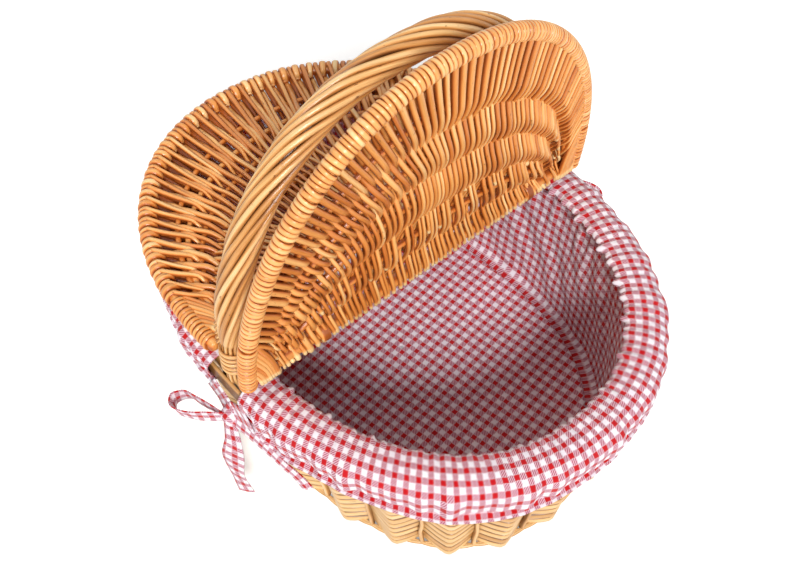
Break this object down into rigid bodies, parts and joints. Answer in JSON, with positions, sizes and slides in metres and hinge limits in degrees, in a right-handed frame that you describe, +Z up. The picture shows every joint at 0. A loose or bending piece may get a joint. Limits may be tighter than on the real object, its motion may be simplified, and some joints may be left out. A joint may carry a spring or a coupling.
{
  "type": "picnic basket",
  "caption": "Oval woven willow picnic basket with a twisted arch handle, half lids hinged on a cross bar, and a gingham cloth lining folded over the rim and tied at the handle feet.",
  "frame": {"origin": "middle of the flat underside of the base", "axes": "+Z up; +X along the basket's length towards the open lid's half; +Y along the hinge bar"},
  "size_m": [0.4222, 0.3978, 0.3386],
  "materials": {
    "pale_willow": "pale split willow, satin",
    "honey_willow": "varnished willow rods, satin gloss",
    "handle_willow": "peeled willow rods, satin",
    "gingham": "woven cotton, red and white gingham check"
  },
  "bodies": {
    "root": {"base_mat": "pale_willow", "base_sticks": "pale_willow", "foot_ring": "pale_willow", "side_stakes": "pale_willow", "side_weave": "pale_willow", "rim_hoop_outer": "pale_willow", "rim_hoop_inner": "pale_willow", "rim_cap_east": "pale_willow", "rim_cap_west": "pale_willow", "handle_core": "handle_willow", "handle_rod_01": "handle_willow", "handle_rod_02": "handle_willow", "handle_rod_03": "handle_willow", "handle_rod_04": "handle_willow", "handle_rod_05": "handle_willow", "handle_rod_06": "handle_willow", "handle_rod_07": "handle_willow", "handle_rod_08": "handle_willow", "handle_rod_09": "handle_willow", "handle_rod_10": "handle_willow", "handle_rod_11": "handle_willow", "handle_rod_12": "handle_willow", "handle_binding_near": "handle_willow", "handle_binding_far": "handle_willow", "cross_bar": "pale_willow", "hinge_loop_east_a": "honey_willow", "hinge_loop_east_b": "honey_willow", "hinge_loop_west_a": "honey_willow", "hinge_loop_west_b": "honey_willow", "lining_bag": "gingham", "lining_flap_east": "gingham", "lining_flap_west": "gingham", "tie_near": "gingham", "tie_far": "gingham"},
    "west_lid": {"west_lid_rim": "honey_willow", "west_lid_edge": "honey_willow", "west_lid_weave": "honey_willow", "west_lid_rib_1": "honey_willow", "west_lid_rib_2": "honey_willow", "west_lid_rib_3": "honey_willow", "west_lid_rib_4": "honey_willow"},
    "east_lid": {"east_lid_rim": "honey_willow", "east_lid_edge": "honey_willow", "east_lid_weave": "honey_willow", "east_lid_rib_1": "honey_willow", "east_lid_rib_2": "honey_willow", "east_lid_rib_3": "honey_willow", "east_lid_rib_4": "honey_willow"}
  },
  "joints": [
    {"name": "west_lid_hinge", "type": "hinge", "parent": "root", "child": "west_lid", "pos_m": [-0.022, 0, 0.1422], "axis": [0, 1, 0], "range_deg": [0, 88]},
    {"name": "east_lid_hinge", "type": "hinge", "parent": "root", "child": "east_lid", "pos_m": [0.022, 0, 0.1422], "axis": [0, 1, 0], "range_deg": [-6, 87.5]}
  ]
}
